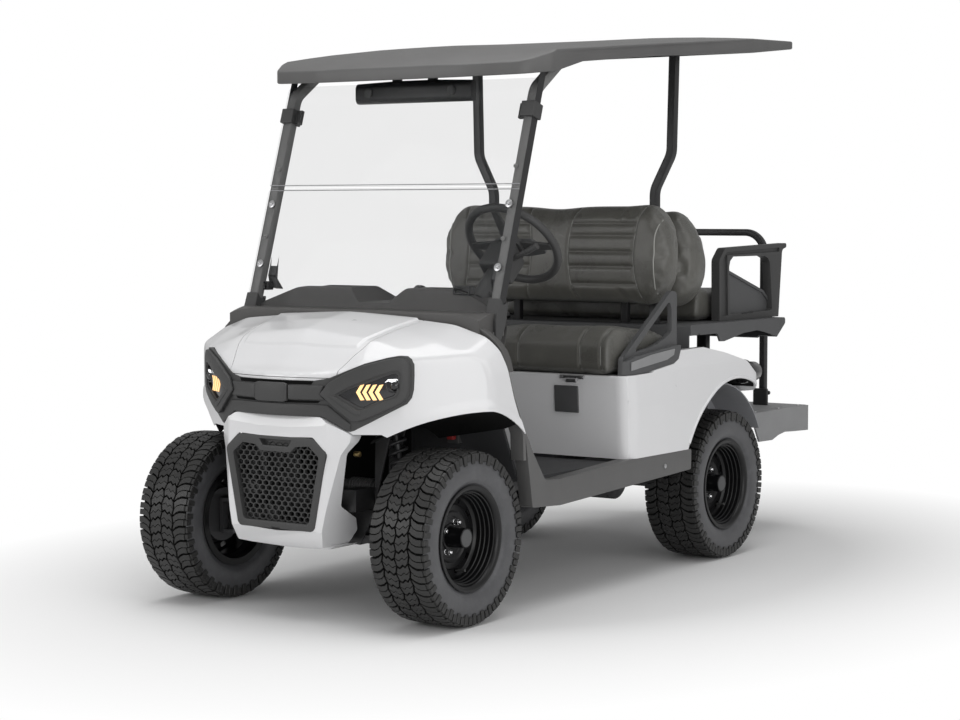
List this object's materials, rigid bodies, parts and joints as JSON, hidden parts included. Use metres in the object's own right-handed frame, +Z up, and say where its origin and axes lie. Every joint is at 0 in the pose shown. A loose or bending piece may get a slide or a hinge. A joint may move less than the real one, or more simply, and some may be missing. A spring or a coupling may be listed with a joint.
{
  "type": "golf cart",
  "caption": "Lifted golf cart with a roof, fold-down windscreen, front bench, rear-facing back seat and footplate, on knobbly tyres.",
  "frame": {"origin": "on the ground, at the middle of the overall length and width", "axes": "+X to the vehicle's left, +Y to its rear, +Z up"},
  "size_m": [1.201, 2.901, 1.99],
  "materials": {
    "pearl_white": "pearl gloss paint on moulded panels",
    "black_plastic": "grained charcoal plastic",
    "grey_plastic": "grained dark grey plastic",
    "gloss_black": "gloss black plastic",
    "lamp_lens": "smoked lamp lens",
    "red_lens": "red lamp lens",
    "clear_glass": "clear acrylic pane",
    "black_steel": "black powder coat",
    "bare_steel": "zinc plated steel",
    "cast_metal": "cast metal",
    "tyre_rubber": "matt black rubber",
    "seat_leather": "grained vinyl leather with piping",
    "floor_mat": "ribbed floor mat",
    "footplate_coat": "textured grey coating",
    "battery_case": "moulded case"
  },
  "bodies": {
    "chassis": {"frame": "black_steel", "footplate_arms": "black_steel", "front_cowl": "pearl_white", "hood": "pearl_white", "front_mask": "black_plastic", "headlamps": "lamp_lens", "grille": "black_plastic", "front_bumper": "pearl_white", "dash": "black_plastic", "windshield_struts": "black_steel", "windshield_lower": "clear_glass", "windshield_upper": "clear_glass", "windshield_clips": "black_plastic", "roof": "grey_plastic", "roof_struts": "black_steel", "mirror": "gloss_black", "steering_column": "black_plastic", "floor": "floor_mat", "sills": "grey_plastic", "rear_body": "pearl_white", "seat_back_front": "seat_leather", "seat_back_rear": "seat_leather", "seat_frame": "black_steel", "hip_restraints": "grey_plastic", "rear_tray": "grey_plastic", "armrests": "black_plastic", "footplate": "footplate_coat", "grab_bar": "black_steel", "tail_lamps": "red_lens", "wheel_liners": "black_plastic", "front_suspension": "black_steel", "coilovers": "black_steel", "rear_axle": "cast_metal", "rear_springs": "black_steel", "battery_pack": "battery_case", "pedals": "black_plastic"},
    "steering_wheel": {"steering_wheel": "black_plastic"},
    "tie_rods": {"tie_rods": "bare_steel"},
    "knuckle_left": {"knuckle_left": "cast_metal"},
    "knuckle_right": {"knuckle_right": "cast_metal"},
    "wheel_front_left": {"tyre_front_left": "tyre_rubber", "rim_front_left": "black_steel"},
    "wheel_front_right": {"tyre_front_right": "tyre_rubber", "rim_front_right": "black_steel"},
    "wheel_rear_left": {"tyre_rear_left": "tyre_rubber", "rim_rear_left": "black_steel"},
    "wheel_rear_right": {"tyre_rear_right": "tyre_rubber", "rim_rear_right": "black_steel"},
    "front_seat_lid": {"seat_cushion_front": "seat_leather"},
    "rear_seat_lid": {"seat_cushion_rear": "seat_leather"},
    "charge_door": {"charge_door": "black_plastic"}
  },
  "joints": [
    {"name": "steering_wheel_turn", "type": "hinge", "parent": "chassis", "child": "steering_wheel", "pos_m": [0.33, -0.5705, 1.19], "axis": [0, 0.7431, 0.6691], "range_deg": [-450, 450]},
    {"name": "knuckle_left_steer", "type": "hinge", "parent": "chassis", "child": "knuckle_left", "pos_m": [0.4, -1.1675, 0.27828], "axis": [0, 0, 1], "range_deg": [-28.2, 28.2]},
    {"name": "knuckle_right_steer", "type": "hinge", "parent": "chassis", "child": "knuckle_right", "pos_m": [-0.4, -1.1675, 0.27828], "axis": [0, 0, 1], "range_deg": [-28.2, 28.2]},
    {"name": "tie_rod_slide", "type": "slide", "parent": "chassis", "child": "tie_rods", "axis": [-1, 0, 0], "range_m": [-0.053, 0.053]},
    {"name": "wheel_front_left_spin", "type": "hinge", "parent": "knuckle_left", "child": "wheel_front_left", "pos_m": [0.479, -1.1675, 0.27828], "axis": [1, 0, 0], "continuous": true},
    {"name": "wheel_front_right_spin", "type": "hinge", "parent": "knuckle_right", "child": "wheel_front_right", "pos_m": [-0.479, -1.1675, 0.27828], "axis": [1, 0, 0], "continuous": true},
    {"name": "wheel_rear_left_spin", "type": "hinge", "parent": "chassis", "child": "wheel_rear_left", "pos_m": [0.471, 0.5265, 0.27828], "axis": [1, 0, 0], "continuous": true},
    {"name": "wheel_rear_right_spin", "type": "hinge", "parent": "chassis", "child": "wheel_rear_right", "pos_m": [-0.471, 0.5265, 0.27828], "axis": [1, 0, 0], "continuous": true},
    {"name": "front_seat_lid_hinge", "type": "hinge", "parent": "chassis", "child": "front_seat_lid", "pos_m": [0, -0.2755, 0.734], "axis": [1, 0, 0], "range_deg": [0, 70]},
    {"name": "rear_seat_lid_hinge", "type": "hinge", "parent": "chassis", "child": "rear_seat_lid", "pos_m": [0, 0.9145, 0.888], "axis": [-1, 0, 0], "range_deg": [0, 85]},
    {"name": "charge_door_hinge", "type": "hinge", "parent": "chassis", "child": "charge_door", "pos_m": [0.345, -0.259, 0.69], "axis": [-1, 0, 0], "range_deg": [0, 90]}
  ],
  "couplings": [
    {"joint": "knuckle_left_steer", "follows": "steering_wheel_turn", "ratio": 0.062222},
    {"joint": "knuckle_right_steer", "follows": "steering_wheel_turn", "ratio": 0.062222},
    {"joint": "tie_rod_slide", "follows": "steering_wheel_turn", "m_per_rad": 0.0066948}
  ]
}
